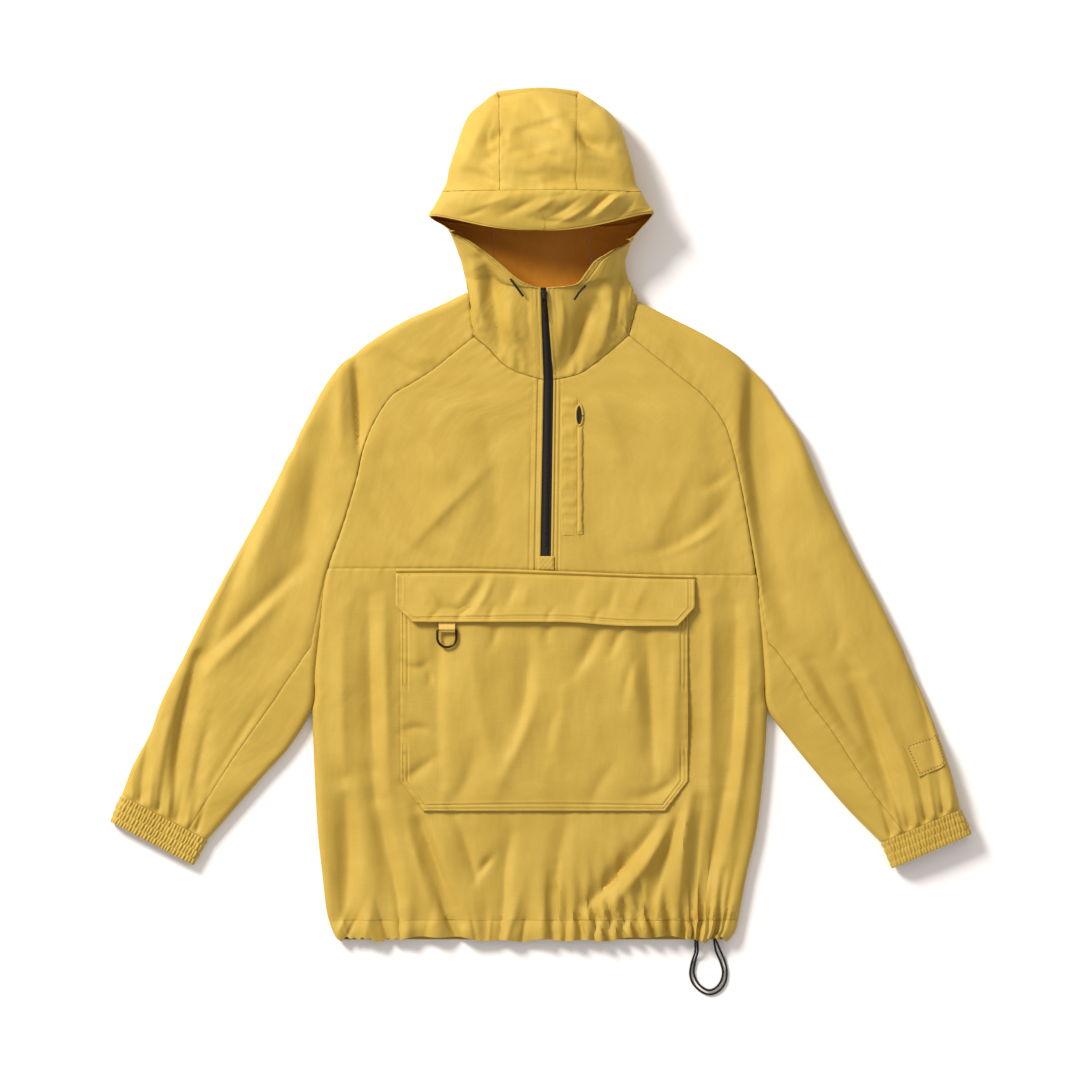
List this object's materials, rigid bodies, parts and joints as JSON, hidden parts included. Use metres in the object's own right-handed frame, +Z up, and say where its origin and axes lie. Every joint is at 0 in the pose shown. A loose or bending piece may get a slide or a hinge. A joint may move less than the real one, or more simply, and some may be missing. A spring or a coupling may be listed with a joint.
{
  "type": "anorak pullover",
  "caption": "Half-zip hooded anorak laid flat on its back, with kangaroo flap pocket, chest zip pocket, elastic cuffs and drawcord hem.",
  "frame": {"origin": "centre of the bounding box in plan, at the surface the garment lies on", "axes": "+Z up from the surface, through the front of the garment; +Y from the hem to the hood; +X towards the left arm of the wearer"},
  "size_m": [1.033, 1.0893, 0.086],
  "materials": {
    "nylon": "matte",
    "zip": "satin",
    "webbing": "matte",
    "cord": "matte",
    "metal": "satin"
  },
  "bodies": {
    "garment": {"back_panel": "nylon", "front_upper_left": "nylon", "front_upper_right": "nylon", "front_lower": "nylon", "sleeve_left_outer": "nylon", "sleeve_left_under": "nylon", "sleeve_right_outer": "nylon", "sleeve_right_under": "nylon", "cuff_left": "nylon", "cuff_right": "nylon", "hem_casing": "nylon", "hood_side_left": "nylon", "hood_side_right": "nylon", "hood_centre": "nylon", "hood_brim": "nylon", "pocket_bag": "nylon", "pocket_flap": "nylon", "ring_tab": "webbing", "zip_tape": "zip", "zip_slider": "zip", "zip_garage": "nylon", "chest_welt": "nylon", "sleeve_patch": "nylon", "hood_cord_left": "cord", "hood_cord_right": "cord", "hem_cord_outer": "cord", "hem_cord_inner": "cord"},
    "zip_pull": {"zip_pull": "metal"},
    "chest_pull": {"chest_zip_pull": "zip"},
    "ring": {"d_ring": "metal"}
  },
  "joints": [
    {"name": "zip_pull_hinge", "type": "hinge", "parent": "garment", "child": "zip_pull", "pos_m": [0.00355, 0.2624, 0.0459], "axis": [-1, 0, 0], "range_deg": [0, 150]},
    {"name": "chest_pull_hinge", "type": "hinge", "parent": "garment", "child": "chest_pull", "pos_m": [0.0465, 0.1294, 0.0163], "axis": [-1, 0, 0], "range_deg": [0, 120]},
    {"name": "ring_hinge", "type": "hinge", "parent": "garment", "child": "ring", "pos_m": [-0.1129, -0.1381, 0.02301], "axis": [-1, 0, 0], "range_deg": [0, 120]}
  ]
}
